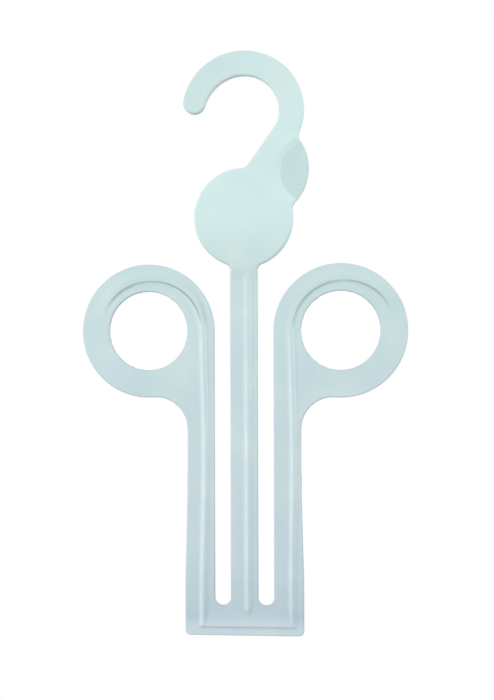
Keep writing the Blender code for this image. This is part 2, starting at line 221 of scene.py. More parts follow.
class Outline:
    """The closed loops round a member, the outside first and then its holes.

    A loop is a list of (points, is_seam). A seam butts against the next member and keeps its
    sharp end. Every other stretch is a rim, which the mould rounds.
    """

    def __init__(self, loops, neighbour_rims):
        loops = [self.turned(loop, 1 if index == 0 else -1) for index, loop in enumerate(loops)]
        self.rims = [stretch for loop in loops for stretch, is_seam in loop if not is_seam]
        self.rims += list(neighbour_rims)
        self.loops = [np.concatenate([stretch[:-1] for stretch, _ in loop]) for loop in loops]
        self.points = np.concatenate(self.loops)
        self.starts_seam = np.concatenate(
            [np.full(len(stretch) - 1, is_seam) for loop in loops for stretch, is_seam in loop]
        )
        index = np.arange(len(self.points))
        splits = np.cumsum([len(loop) for loop in self.loops])[:-1]
        self.after = np.concatenate([np.roll(part, -1) for part in np.split(index, splits)])
        ahead = self.points[self.after] - self.points
        normal = np.where(self.starts_seam, 0, 1j * ahead / abs(ahead))
        total = normal.copy()
        total[self.after] += normal
        self.on_rim = abs(total) > 0
        self.inward = total / np.where(self.on_rim, abs(total), 1)

    def turned(self, loop, turn):
        """The loop's stretches in the order that keeps the plastic on their left."""
        points = np.concatenate([stretch[:-1] for stretch, _ in loop])
        area = (points.conjugate() * np.roll(points, -1)).imag.sum()
        if area * turn > 0:
            return loop
        return [(stretch[::-1], is_seam) for stretch, is_seam in reversed(loop)]


def plan_points(outline, depth, guides):
    """The outline's points, rows that follow its rims and the guides, and a grid between them."""
    plan = outline.points + DRAFT * outline.inward
    round_off = RIM_ROUND_SHARE * depth(plan)
    along_rim = ~outline.starts_seam
    along_rim[outline.after] &= ~outline.starts_seam
    rows = []
    for share in RIM_ROW_SHARES:
        row = (outline.points + (DRAFT + share * round_off) * outline.inward)[along_rim]
        room = nearest_rim(row, outline.rims)[0]
        rows.append(row[room > RIM_ROW_ROOM * share * round_off[along_rim]])
    across = np.arange(plan.real.min(), plan.real.max(), GRID_STEP)
    up = np.arange(plan.imag.min(), plan.imag.max(), GRID_STEP)
    grid = (across[None, :] + 1j * up[:, None]).ravel()
    for row in rows + list(guides):
        gap = np.min([nearest(row, np.append(loop, loop[0]))[0] for loop in outline.loops], axis=0)
        row = row[(gap > ROW_SPACING) & inside(row, outline.loops)]
        plan = np.concatenate([plan, thinned(plan, row, ROW_SPACING)])
    return np.concatenate([plan, thinned(plan, grid[inside(grid, outline.loops)], GRID_SPACING)])


def triangles(outline, plan):
    """Triangles over the plan, each turned to the left."""
    edges = [(index, int(after)) for index, after in enumerate(outline.after)]
    flat = [Vector((point.real, point.imag)) for point in plan]
    made, _, corners, source, _, _ = delaunay_2d_cdt(flat, edges, [], 0, MERGE_DISTANCE)
    if len(made) != len(plan):
        raise ValueError("an outline crosses itself")
    corners = np.array([first[0] for first in source])[np.array(corners)]
    corners = corners[inside(plan[corners].mean(axis=1), outline.loops)]
    one, two, three = plan[corners].T
    is_right = ((two - one).conjugate() * (three - one)).imag < 0
    corners[is_right] = corners[is_right][:, ::-1]
    return corners


def relief(outline, plan, depth):
    """Height of the face over the middle plane, rounded off at the rims, and its normals."""
    gap, way = nearest_rim(plan, outline.rims)
    way[: len(outline.points)][outline.on_rim] = -outline.inward[outline.on_rim]
    round_off = RIM_ROUND_SHARE * depth(plan)
    short_of_flat = np.clip(1 - (gap - DRAFT) / round_off, 0, 1)
    rise = np.sqrt(1 - short_of_flat**2)
    height = depth(plan) - round_off * (1 - rise)
    slope = depth(plan + SLOPE_STEP) - depth(plan - SLOPE_STEP) + 0j
    slope += 1j * (depth(plan + 1j * SLOPE_STEP) - depth(plan - 1j * SLOPE_STEP))
    lean = short_of_flat * way - rise * slope / (2 * SLOPE_STEP)
    return height, np.stack([lean.real, -np.maximum(rise, DRAFT_TILT), lean.imag], axis=1)


def sunk(points, marks):
    """How deep the round marks of the mould's pins and gate lie in the back face."""
    depth = np.zeros(len(points))
    for centre, radius, mark_depth in marks:
        depth += mark_depth * (1 - soft_step((abs(points - centre) - radius) / PIN_EDGE))
    return depth


def mould(name, loops, depth, neighbour_rims=(), guides=(), marks=()):
    """A closed solid over a flat outline, one with its neighbours at the seams.

    depth gives the height of a face over the middle plane before its rim is rounded, and the
    guides are rows of points that the mesh follows. The faces differ only by the marks in the back.
    """
    guides = list(guides)
    for centre, radius, _ in marks:
        guides += [centre + (radius + share * PIN_EDGE) * PIN_CIRCLE for share in (0, 0.5, 1)]
    outline = Outline(loops, neighbour_rims)
    plan = plan_points(outline, depth, guides)
    corners = triangles(outline, plan)
    height, normal = relief(outline, plan, depth)
    back_height, back_normal = relief(outline, plan, lambda points: depth(points) - sunk(points, marks))
    back_normal = back_normal * np.array((1, -1, 1))
    size = len(plan)
    front = np.stack([plan.real, -height, plan.imag], axis=1)
    back = np.stack([plan.real, back_height, plan.imag], axis=1)
    parting = np.stack([outline.points.real, 0 * outline.points.real, outline.points.imag], axis=1)
    parting_index = np.where(outline.on_rim, 2 * size + np.cumsum(outline.on_rim) - 1, -1)
    vertices = np.concatenate([front, back, parting[outline.on_rim]])

    faces = [list(face) for face in corners] + [list(face[::-1] + size) for face in corners]
    normals = [normal[index] for index in corners.ravel()]
    normals += [back_normal[index] for index in corners[:, ::-1].ravel()]
    outward = -np.stack([outline.inward.real, 0 * outline.inward.real, outline.inward.imag], axis=1)
    tilt = np.array((0, DRAFT_TILT, 0))
    for here, after in enumerate(outline.after):
        if outline.starts_seam[here]:
            around = (here + size, after + size, parting_index[after], after, here, parting_index[here])
            faces.append([index for index in around if index >= 0])
            ahead = outline.points[after] - outline.points[here]
            square = -1j * ahead / abs(ahead)
            normals += [np.array((square.real, 0, square.imag))] * len(faces[-1])
            continue
        faces.append([here, parting_index[here], parting_index[after], after])
        normals += [normal[here], outward[here] - tilt, outward[after] - tilt, normal[after]]
        faces.append([parting_index[here], here + size, after + size, parting_index[after]])
        normals += [outward[here] + tilt, back_normal[here]]
        normals += [back_normal[after], outward[after] + tilt]

    mesh = bpy.data.meshes.new(name)
    mesh.from_pydata(vertices.tolist(), [], [[int(index) for index in face] for face in faces])
    mesh.shade_smooth()
    normals = np.array(normals)
    mesh.normals_split_custom_set((normals / np.linalg.norm(normals, axis=1)[:, None]).tolist())
    solid = bpy.data.objects.new(name + "_moulding", mesh)
    bpy.context.scene.collection.objects.link(solid)
    return solid


bore_centre = -1j * HOOK_BORE_RADIUS
outer_centre = 1j * (HOOK_TOP_WIDTH - HOOK_OUTER_RADIUS)
back_centre = on_circle(outer_centre, HOOK_OUTER_RADIUS - HOOK_BACK_RADIUS, HOOK_BACK_ANGLE)
disc_centre = -1j * DISC_DROP
tab_centre_x = back_centre.real + HOOK_BACK_RADIUS + TAB_PROUD - TAB_RADIUS
tab_centre = complex(tab_centre_x, TAB_RISE - DISC_DROP)
tip_centre = on_circle(outer_centre, HOOK_OUTER_RADIUS - HOOK_TIP_RADIUS, HOOK_TIP_ANGLE)
notch = crossing(back_centre, HOOK_BACK_RADIUS, tab_centre, TAB_RADIUS, 1)
tab_foot = crossing(disc_centre, DISC_RADIUS, tab_centre, TAB_RADIUS, -1)
neck_foot_rise = math.sqrt(DISC_RADIUS**2 - NECK_FOOT_OFFSET**2)
neck_foot = complex(NECK_FOOT_OFFSET, neck_foot_rise - DISC_DROP)

to_mouth = on_circle(0, 1, HOOK_MOUTH_ANGLE)
to_tip = tip_centre - bore_centre
tip_along = (to_tip * to_mouth.conjugate()).real
mouth_radius = (
    HOOK_TIP_RADIUS**2 - abs(to_tip) ** 2 + 2 * HOOK_BORE_RADIUS * tip_along - HOOK_BORE_RADIUS**2
) / (2 * (tip_along - HOOK_BORE_RADIUS - HOOK_TIP_RADIUS))
mouth_centre = bore_centre - (mouth_radius - HOOK_BORE_RADIUS) * to_mouth

bow_centre, bow_radius = bowed(notch, tab_foot, TAB_BOW)
recess_centre, recess_radius = bowed(notch, tab_foot, RECESS_BOW)
bow_foot = crossing(disc_centre, DISC_RADIUS, bow_centre, bow_radius, 1)
bow = arc(bow_centre, bow_radius, angle_at(bow_centre, notch), angle_at(bow_centre, bow_foot) % 360)
neck_seam = arc(
    disc_centre, DISC_RADIUS, angle_at(disc_centre, bow_foot), angle_at(disc_centre, neck_foot)
)
tab_seam = arc(
    disc_centre, DISC_RADIUS, angle_at(disc_centre, bow_foot), angle_at(disc_centre, tab_foot)
)

STEM_WIDTH = 0.0104
stem_corner = complex(STEM_WIDTH / 2, -math.sqrt(DISC_RADIUS**2 - STEM_WIDTH**2 / 4) - DISC_DROP)
stem_angle = angle_at(disc_centre, stem_corner)
tip_turn = angle_at(tip_centre, mouth_centre)
neck_line = line(neck_foot, on_circle(bore_centre, HOOK_BORE_RADIUS, NECK_ANGLE))
bore = arc(bore_centre, HOOK_BORE_RADIUS, NECK_ANGLE, HOOK_MOUTH_ANGLE)
hook_rim = chain(
    *eased(neck_line, bore, NECK_EASE),
    arc(mouth_centre, mouth_radius, HOOK_MOUTH_ANGLE, angle_at(mouth_centre, tip_centre)),
    arc(tip_centre, HOOK_TIP_RADIUS, tip_turn, HOOK_TIP_ANGLE - 360),
    arc(outer_centre, HOOK_OUTER_RADIUS, HOOK_TIP_ANGLE, HOOK_BACK_ANGLE),
    arc(back_centre, HOOK_BACK_RADIUS, HOOK_BACK_ANGLE, angle_at(back_centre, notch)),
)
tab_rim = arc(tab_centre, TAB_RADIUS, angle_at(tab_centre, notch), angle_at(tab_centre, tab_foot))
disc_rim_right = arc(disc_centre, DISC_RADIUS, angle_at(disc_centre, tab_foot), stem_angle)
disc_rim_left = arc(
    disc_centre, DISC_RADIUS, -180 - stem_angle, angle_at(disc_centre, neck_foot) - 360
)
disc_rim_left, hook_rim = eased(disc_rim_left, hook_rim, CORNER_EASE)
hook_rim, tab_rim = eased(hook_rim, tab_rim, NOTCH_EASE)
tab_rim, disc_rim_right = eased(tab_rim, disc_rim_right, CORNER_EASE)
bow = seam(chain(np.array([tab_rim[0], notch]), bow), PLATE_DEPTH)
neck_seam = seam(chain(neck_seam, np.array([neck_foot, hook_rim[0]])), PLATE_DEPTH)
tab_seam = seam(chain(tab_seam, np.array([tab_foot, tab_rim[-1]])), PLATE_DEPTH)


def plate_depth(points):
    """The plates are even but for the recess round the size tab, which laps onto the neck and disc."""
    sunken = soft_step((recess_radius - abs(points - recess_centre)) / RECESS_RUN)
    return PLATE_DEPTH + (TAB_DEPTH - PLATE_DEPTH) * sunken


recess_turn = (angle_at(recess_centre, notch), angle_at(recess_centre, tab_foot) % 360)
recess_rows = [
    arc(recess_centre, recess_radius - share * RECESS_RUN, *recess_turn) for share in RECESS_ROW_SHARES
]
hook_pins = [on_circle(outer_centre, radius, angle) for radius, angle in HOOK_PINS] + [NECK_PIN]
hook = mould(
    "hook",
    [[(hook_rim, False), (bow, True), (neck_seam, True)]],
    plate_depth,
    neighbour_rims=[tab_rim, disc_rim_left],
    guides=recess_rows,
    marks=[(pin, PIN_RADIUS, PIN_DEPTH) for pin in hook_pins],
)

# The plastic's own hue runs from mint at the hook to ice blue at the foot. The brightness of the stops
# is painted light and shade, set against how the lamps fall at each height. It is darkest as painted
# shade over the base above its rib, lighter in the strip below the rib, and darker again at the hook's
# top.
HUE_AND_LIGHT_STOPS = (
    (0.0, (0.536, 0.644, 0.694, 1)),
    (0.018, (0.527, 0.632, 0.684, 1)),
    (0.032, (0.454, 0.565, 0.618, 1)),
    (0.13, (0.505, 0.622, 0.664, 1)),
    (0.25, (0.526, 0.643, 0.675, 1)),
    (0.55, (0.535, 0.678, 0.692, 1)),
    (0.63, (0.544, 0.686, 0.684, 1)),
    (0.72, (0.600, 0.780, 0.768, 1)),
    (0.85, (0.622, 0.793, 0.775, 1)),
    (1.0, (0.590, 0.758, 0.750, 1)),
)
MOULDING_FOOT = -0.2101
MOULDING_TOP = 0.0095
# Painted shade, darker and bluer, on the floor of the sunken tab recess and on the rims near the middle
# plane.
RECESS_SHADE_TINT = (0.862, 0.868, 0.900, 1)
RECESS_SHADE_SPAN = (0.00119, 0.00100)
PALE_PATCH = (1.055, 1.035, 1.010, 1)
BLUE_PATCH = (0.955, 0.975, 0.990, 1)
PATCH_SCALE = 62.0
PATCH_START = 0.50
PATCH_RUN = 0.22
FLOW_SCALE = 900.0
FLOW_STRETCH = (1.0, 1.0, 0.06)
FLOW_SHARE = 0.5
GRAIN_SCALE = 3200.0
GRAIN_HEIGHT = 0.000003
SHEEN_SCALE = 170.0
SHEEN_NOISE = (0.3, 0.7)
SHEEN_ROUGHNESS = (-0.035, 0.045)
SATIN_ROUGHNESS = 0.33
PLASTIC_IOR = 1.49
TIP_TINT = (0.915, 0.925, 0.920, 1)
TIP_REACH = 0.038
WORN_COLOUR = (0.70, 0.79, 0.79, 1)
WORN_ROUGHNESS = 0.25
WORN_REACH = 0.0013
WORN_RISE = (-0.0075, -0.0015)
FLECK_SCALE = 1500.0
FLECK_NOISE = (0.35, 0.65)


def shader_group(name, inputs, outputs):
    """An empty node group, its inner input and output nodes, and its sockets: name and type."""
    group = bpy.data.node_groups.new(name, "ShaderNodeTree")
    for label, kind in inputs:
        group.interface.new_socket(label, in_out="INPUT", socket_type=kind)
    for label, kind in outputs:
        group.interface.new_socket(label, in_out="OUTPUT", socket_type=kind)
    return group, group.nodes.new("NodeGroupInput"), group.nodes.new("NodeGroupOutput")


def fill(tree, socket, value):
    """Links a socket to another node's output, or sets it to a plain value."""
    if isinstance(value, bpy.types.NodeSocket):
        tree.links.new(value, socket)
    else:
        socket.default_value = value


def add_node(tree, kind, settings=(), **sockets):
    """A node with its settings and its sockets filled. A double underscore stands for a space."""
    node = tree.nodes.new(kind)
    for label, value in dict(settings).items():
        setattr(node, label, value)
    for label, value in sockets.items():
        fill(tree, node.inputs[label.replace("__", " ")], value)
    return node


def computed(tree, kind, operation, *values):
    """A math or vector math node with its sockets filled in order."""
    node = add_node(tree, kind, {"operation": operation})
    for socket, value in zip(node.inputs, values):
        fill(tree, socket, value)
    return node


def math_of(tree, operation, *values):
    """The result of a math node."""
    return computed(tree, "ShaderNodeMath", operation, *values).outputs["Value"]


def stretched(tree, place, factors):
    """A place with each coordinate times its own factor."""
    return computed(tree, "ShaderNodeVectorMath", "MULTIPLY", place, factors).outputs["Vector"]


def distance_from(tree, place, point):
    """How far a place is from a point."""
    return computed(tree, "ShaderNodeVectorMath", "DISTANCE", place, point).outputs["Value"]


def rising(tree, value, start, full, course="SMOOTHSTEP"):
    """A mask that goes from 0 where the value is start to 1 where it is full."""
    settings = {"interpolation_type": course}
    node = add_node(tree, "ShaderNodeMapRange", settings, Value=value, From__Min=start, From__Max=full)
    return node.outputs["Result"]


def blended(tree, mode, share, one, two):
    """The result of a colour mix, whose colours are its sockets 6 and 7."""
    mix = add_node(tree, "ShaderNodeMix", {"data_type": "RGBA", "blend_type": mode})
    for index, value in zip((0, 6, 7), (share, one, two)):
        fill(tree, mix.inputs[index], value)
    return mix.outputs[2]


def tint_light_and_shade():
    """Mint at the hook, drifting to ice blue at the foot, softly patchy, with painted light and shade:
    brightness steps up the height, and painted shade in the sunken tab recess.
    """
    inputs = [("Place", "NodeSocketVector"), ("Patchiness", "NodeSocketFloat")]
    tree, given, result = shader_group("tint_light_and_shade", inputs, [("Colour", "NodeSocketColor")])
    place = given.outputs["Place"]
    split = add_node(tree, "ShaderNodeSeparateXYZ", Vector=place)
    rise = rising(tree, split.outputs["Z"], MOULDING_FOOT, MOULDING_TOP, "LINEAR")
    # Painted light and shade up the height, laid over the plastic's hue.
    ramp = add_node(tree, "ShaderNodeValToRGB", Fac=rise)
    while len(ramp.color_ramp.elements) < len(HUE_AND_LIGHT_STOPS):
        ramp.color_ramp.elements.new(0.5)
    for element, (position, colour) in zip(ramp.color_ramp.elements, HUE_AND_LIGHT_STOPS):
        element.position = position
        element.color = colour
    # Painted shade: where the face lies within about a millimetre of the middle plane, as on the sunken
    # tab recess's floor and the rims' roundings, the colour turns darker and bluer.
    recess_shade = rising(tree, math_of(tree, "ABSOLUTE", split.outputs["Y"]), *RECESS_SHADE_SPAN)
    colour = blended(tree, "MULTIPLY", recess_shade, ramp.outputs["Color"], RECESS_SHADE_TINT)
    cloud = add_node(
        tree,
        "ShaderNodeTexNoise",
        Vector=place,
        Scale=PATCH_SCALE,
        Detail=2.0,
        Roughness=0.45,
    )
    for tint, run in ((PALE_PATCH, PATCH_RUN), (BLUE_PATCH, -PATCH_RUN)):
        patch = rising(tree, cloud.outputs["Fac"], PATCH_START, PATCH_START + run)
        amount = math_of(tree, "MULTIPLY", patch, given.outputs["Patchiness"])
        colour = blended(tree, "MULTIPLY", amount, colour, tint)
    fill(tree, result.inputs["Colour"], colour)
    return tree


def satin_skin():
    """The mould's satin finish: a fine grain, faint flow lines down the length, and uneven gloss."""
    inputs = [("Place", "NodeSocketVector"), ("Base Roughness", "NodeSocketFloat")]
    outputs = [("Roughness", "NodeSocketFloat"), ("Height", "NodeSocketFloat")]
    tree, given, result = shader_group("satin_skin", inputs, outputs)
    place = given.outputs["Place"]
    along = stretched(tree, place, FLOW_STRETCH)
    flow = add_node(tree, "ShaderNodeTexNoise", Vector=along, Scale=FLOW_SCALE, Detail=1.0)
    grain = add_node(tree, "ShaderNodeTexNoise", Vector=place, Scale=GRAIN_SCALE, Detail=1.0)
    height = math_of(tree, "MULTIPLY_ADD", flow.outputs["Fac"], FLOW_SHARE, grain.outputs["Fac"])
    sheen = add_node(tree, "ShaderNodeTexNoise", Vector=place, Scale=SHEEN_SCALE, Detail=3.0)
    uneven = add_node(
        tree,
        "ShaderNodeMapRange",
        Value=sheen.outputs["Fac"],
        From__Min=SHEEN_NOISE[0],
        From__Max=SHEEN_NOISE[1],
        To__Min=SHEEN_ROUGHNESS[0],
        To__Max=SHEEN_ROUGHNESS[1],
    )
    roughness = math_of(tree, "ADD", uneven.outputs["Result"], given.outputs["Base Roughness"])
    fill(tree, result.inputs["Roughness"], roughness)
    fill(tree, result.inputs["Height"], height)
    return tree


tint_and_shade_group = tint_light_and_shade()
skin_group = satin_skin()


def moulded_plastic(name):
    """Tinted polypropylene, with painted light and shade in its colour, the mould's finish, and its
    place, colour and roughness outputs.
    """
    material = bpy.data.materials.new(name)
    material.use_nodes = True
    tree = material.node_tree
    place = add_node(tree, "ShaderNodeTexCoord").outputs["Object"]
    tint = add_node(tree, "ShaderNodeGroup", {"node_tree": tint_and_shade_group}, Place=place, Patchiness=1.0)
    skin = add_node(
        tree,
        "ShaderNodeGroup",
        {"node_tree": skin_group},
        Place=place,
        Base__Roughness=SATIN_ROUGHNESS,
    )
    bump = add_node(
        tree,
        "ShaderNodeBump",
        Height=skin.outputs["Height"],
        Strength=1.0,
        Distance=GRAIN_HEIGHT,
    )
    shader = tree.nodes["Principled BSDF"]
    fill(tree, shader.inputs["IOR"], PLASTIC_IOR)
    fill(tree, shader.inputs["Base Color"], tint.outputs["Colour"])
    fill(tree, shader.inputs["Roughness"], skin.outputs["Roughness"])
    fill(tree, shader.inputs["Normal"], bump.outputs["Normal"])
    return material, place, tint.outputs["Colour"], skin.outputs["Roughness"]


def rail_worn(name):
    """The same plastic, deeper towards the tip, and rubbed dull and pale inside the hook's top."""
    material, place, colour, roughness = moulded_plastic(name)
    tree = material.node_tree
    from_tip = distance_from(tree, place, (tip_centre.real, 0, tip_centre.imag))
    # The colour deepens towards the hook's tip.
    near_tip = rising(tree, from_tip, TIP_REACH, 0.0, "LINEAR")
    deeper = blended(tree, "MULTIPLY", near_tip, colour, TIP_TINT)
    from_middle = distance_from(tree, place, (0, 0, -HOOK_BORE_RADIUS))
    near = rising(tree, from_middle, HOOK_BORE_RADIUS + WORN_REACH, HOOK_BORE_RADIUS)
    split = add_node(tree, "ShaderNodeSeparateXYZ", Vector=place)
    high = rising(tree, split.outputs["Z"], *WORN_RISE)
    fleck = add_node(tree, "ShaderNodeTexNoise", Vector=place, Scale=FLECK_SCALE, Detail=3.0)
    flecked = rising(tree, fleck.outputs["Fac"], *FLECK_NOISE, "LINEAR")
    rubbed = math_of(tree, "MULTIPLY", math_of(tree, "MULTIPLY", near, high), flecked)
    dulled = math_of(tree, "MULTIPLY_ADD", rubbed, WORN_ROUGHNESS, roughness)
    shader = tree.nodes["Principled BSDF"]
    fill(tree, shader.inputs["Base Color"], blended(tree, "MIX", rubbed, deeper, WORN_COLOUR))
    fill(tree, shader.inputs["Roughness"], dulled)
    return material


plastic = moulded_plastic("tinted_polypropylene")[0]
hook.data.materials.append(rail_worn("rail_worn_polypropylene"))
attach(hook, "frame")
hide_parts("hook")


# Label disc
# The round plate for a price label, as thick as the hook and moulded in one with it. The melt
# came in through a gate low on its back, which leaves a small dimple.
GATE_RADIUS = 0.0011
GATE_DEPTH = 0.00025
GATE_DROP = 0.0125
DISC_PINS = ((0.0125, 150), (0.0125, 30))
STEM_FOOT = -0.1958
stem_top = arc(disc_centre, DISC_RADIUS, -180 - stem_angle, stem_angle)
stem_rim_right = line(stem_corner, complex(STEM_WIDTH / 2, STEM_FOOT))
stem_rim_left = line(complex(-STEM_WIDTH / 2, STEM_FOOT), complex(-STEM_WIDTH / 2, stem_corner.imag))
disc_rim_right, stem_rim_right = eased(disc_rim_right, stem_rim_right, CORNER_EASE)
stem_rim_left, disc_rim_left = eased(stem_rim_left, disc_rim_left, CORNER_EASE)
stem_top = chain(
    np.array([disc_rim_left[0], stem_top[0]]), stem_top, np.array([stem_top[-1], disc_rim_right[-1]])
)
stem_top = seam(stem_top, PLATE_DEPTH)
disc_loop = [(disc_rim_left, False), (neck_seam[::-1], True), (tab_seam, True)]
disc_loop += [(disc_rim_right, False), (stem_top[::-1], True)]
disc_pins = [on_circle(disc_centre, radius, angle) for radius, angle in DISC_PINS]
disc_marks = [(pin, PIN_RADIUS, PIN_DEPTH) for pin in disc_pins]
disc_marks += [(disc_centre - 1j * GATE_DROP, GATE_RADIUS, GATE_DEPTH)]
disc = mould(
    "label_disc",
    [disc_loop],
    plate_depth,
    neighbour_rims=[hook_rim, tab_rim, stem_rim_left, stem_rim_right],
    guides=recess_rows,
    marks=disc_marks,
)
disc.data.materials.append(plastic)
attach(disc, "frame")
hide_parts("label_disc")


# Sizer tab
# The thin lens-shaped web beside the neck that takes a clip-on size marker. The recess that
# thins it, in both faces of the moulding, falls away softly from the neck and the disc.
# The shared plastic paints shade onto the recess floor, darker and bluer.
tab = mould(
    "sizer_tab",
    [[(bow, True), (tab_seam, True), (tab_rim[::-1], False)]],
    plate_depth,
    neighbour_rims=[hook_rim, disc_rim_right],
    guides=recess_rows,
)
tab.data.materials.append(plastic)
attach(tab, "frame")
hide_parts("sizer_tab")


# Stem
# The straight strip from the disc to the base: a thin flange with a raised rib down both faces.
# The rib rises out of the disc's soft foot.
FLANGE_DEPTH = 0.0012
RIB_CREST = 0.00025
STEM_RIB_SHIFT = 0.0018
RIB_CREST_DOWN = 0.00135
FLANK_RUN = 0.0023
FLANK_LEAN = 0.0007
FLANK_RUN_UP = 0.0048
FLANK_RUN_DOWN = 0.0010
FLANK_TURN_SHARE = 0.15
DISC_FOOT_RUN = 0.0060
FOOT_SHARES = (0.2, 0.4, 0.6, 0.8, 1.0)
FOOT_TURN = (-70, -110)
FLANK_SHARES = (0.0, 0.08, 0.15, 0.4, 0.7, 1.0)


def flank(downhill):
    """Where a rib's flank starts and ends: long facing up or left, short facing down or right."""
    upright = downhill.imag**2
    start = RIB_CREST + (RIB_CREST_DOWN - RIB_CREST) * np.where(downhill.imag < 0, upright, 0)
    aside = FLANK_RUN - FLANK_LEAN * downhill.real
    upright_run = np.where(downhill.imag > 0, FLANK_RUN_UP, FLANK_RUN_DOWN)
    return start, start + aside + (upright_run - aside) * upright


def fall(share):
    """From 0 at the crest to 1 at the flange: steepest near the crest, and easing out."""
    share = np.clip(share, 0, 1)
    eased_out = 1 - (1 - share) ** 2 / (1 - FLANK_TURN_SHARE)
    return np.where(share < FLANK_TURN_SHARE, share**2 / FLANK_TURN_SHARE, eased_out)


def rib_share(offset):
    """How much of the rib's height stands at an offset from its line."""
    distance = abs(offset)
    start, end = flank(offset / np.maximum(distance, TINY))
    return 1 - fall((distance - start) / (end - start))


def flank_rows(path, downhill):
    """Rows of points along one flank of a rib."""
    start, end = flank(downhill)
    return [path + downhill * (start + share * (end - start)) for share in FLANK_SHARES]


def ribbed(shares):
    return FLANGE_DEPTH + (PLATE_DEPTH - FLANGE_DEPTH) * shares


def stem_depth(points):
    rib = rib_share(points.real - STEM_RIB_SHIFT + 0j)
    foot = 1 - soft_step((abs(points - disc_centre) - DISC_RADIUS) / DISC_FOOT_RUN)
    return ribbed(1 - (1 - rib) * (1 - foot))


stem_rib = line(complex(STEM_RIB_SHIFT, stem_corner.imag), complex(STEM_RIB_SHIFT, STEM_FOOT))
stem_rows = flank_rows(stem_rib, -1) + flank_rows(stem_rib, 1)
stem_rows += [
    arc(disc_centre, DISC_RADIUS + share * DISC_FOOT_RUN, *FOOT_TURN) for share in FOOT_SHARES
]
stem_foot = line(complex(-STEM_WIDTH / 2, STEM_FOOT), complex(STEM_WIDTH / 2, STEM_FOOT), SEAM_STEP)
stem_foot = seam(stem_foot, FLANGE_DEPTH)
stem_loop = [(stem_top, True), (stem_rim_right, False), (stem_foot[::-1], True), (stem_rim_left, False)]
stem = mould(
    "stem",
    [stem_loop],
    stem_depth,
    neighbour_rims=[disc_rim_left, disc_rim_right],
    guides=stem_rows,
)
stem.data.materials.append(plastic)
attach(stem, "frame")
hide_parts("stem")


# Base bar
# The bar along the foot that closes both slots. Its rib turns up into the ribs of both arms, in
# corners mitred inside and round outside, and the stem's rib tapers out above it.
SLOT_WIDTH = 0.0059
SLOT_FLOOR_DROP = 0.19875
BASE_WIDTH = 0.0447
BASE_HEIGHT = 0.01135
BASE_CORNER_RADIUS = 0.0019
BASE_RIB_RISE = 0.0039
BASE_RIB_SHIFT = 0.0016
BASE_RIB_UP = 0.0066
BASE_RIB_DOWN = 0.0013
STEM_RIB_TIP = -0.2035
STEM_RIB_TAPER = 0.0040
STOP_ROOM = 0.3
BASE_PIN_RADIUS = 0.0012
BASE_PIN_RISE = 0.0084
slot_x = (STEM_WIDTH + SLOT_WIDTH) / 2
arm_inner = STEM_WIDTH / 2 + SLOT_WIDTH
foot_half = BASE_WIDTH / 2
root_z = SLOT_WIDTH / 2 - SLOT_FLOOR_DROP
pivot_x = (arm_inner + foot_half) / 2
floor_z = -SLOT_FLOOR_DROP - BASE_HEIGHT
base_rib_z = floor_z + BASE_RIB_RISE


def mirrored(points, side):
    """The same points on the right (1) or reflected to the left (-1)."""
    return points if side > 0 else -np.conj(points)


corner = complex(foot_half - BASE_CORNER_RADIUS, floor_z + BASE_CORNER_RADIUS)
base_side = chain(
    arc(corner, BASE_CORNER_RADIUS, -90, 0),
    line(complex(foot_half, corner.imag), complex(foot_half, root_z)),
)
slot_end = arc(complex(slot_x, root_z), SLOT_WIDTH / 2, 0, -180)
root_seam = line(complex(foot_half, root_z), complex(arm_inner, root_z), SEAM_STEP)
root_seam = seam(root_seam, FLANGE_DEPTH)
base_floor = line(complex(-corner.real, floor_z), complex(corner.real, floor_z))
base_loop = [(base_floor, False), (base_side, False), (root_seam, True), (slot_end, False)]
base_loop += [(stem_foot[::-1], True), (mirrored(slot_end, -1)[::-1], False)]
base_loop += [(mirrored(root_seam, -1)[::-1], True), (mirrored(base_side, -1)[::-1], False)]


def base_depth(points):
    """Three sides of a frame, its corners mitred inside and round outside, and the stem rib's end."""
    moved = points - BASE_RIB_SHIFT
    beyond_upright = abs(moved.real) - pivot_x
    below_bar = base_rib_z - moved.imag
    start, end = flank(np.sign(moved.real * beyond_upright) + 0j)
    upright = (abs(beyond_upright) - start) / (end - start)
    bar_end = np.where(below_bar > 0, BASE_RIB_DOWN, BASE_RIB_UP)
    bar = (abs(below_bar) - RIB_CREST) / (bar_end - RIB_CREST)
    outside = (beyond_upright > 0) | (below_bar > 0)
    upright = np.where((beyond_upright < 0) & (below_bar > 0), -1, upright)
    bar = np.where((below_bar < 0) & (beyond_upright > 0), -1, bar)
    round_corner = np.hypot(np.maximum(upright, 0), np.maximum(bar, 0))
    frame_rib = 1 - fall(np.where(outside, round_corner, np.minimum(upright, bar)))
    taper = soft_step((points.imag - STEM_RIB_TIP) / STEM_RIB_TAPER)
    stem_rib = rib_share(points.real - STEM_RIB_SHIFT + 0j) * taper
    return ribbed(np.maximum(frame_rib, stem_rib))


def stops(first, last):
    """Places along a row from first to last, in step with those of the rows beside it."""
    lowest = math.ceil(first / EDGE_STEP + STOP_ROOM)
    highest = math.floor(last / EDGE_STEP - STOP_ROOM)
    steps = np.arange(lowest, highest + 1)
    return np.concatenate([[first], steps * EDGE_STEP, [last]])


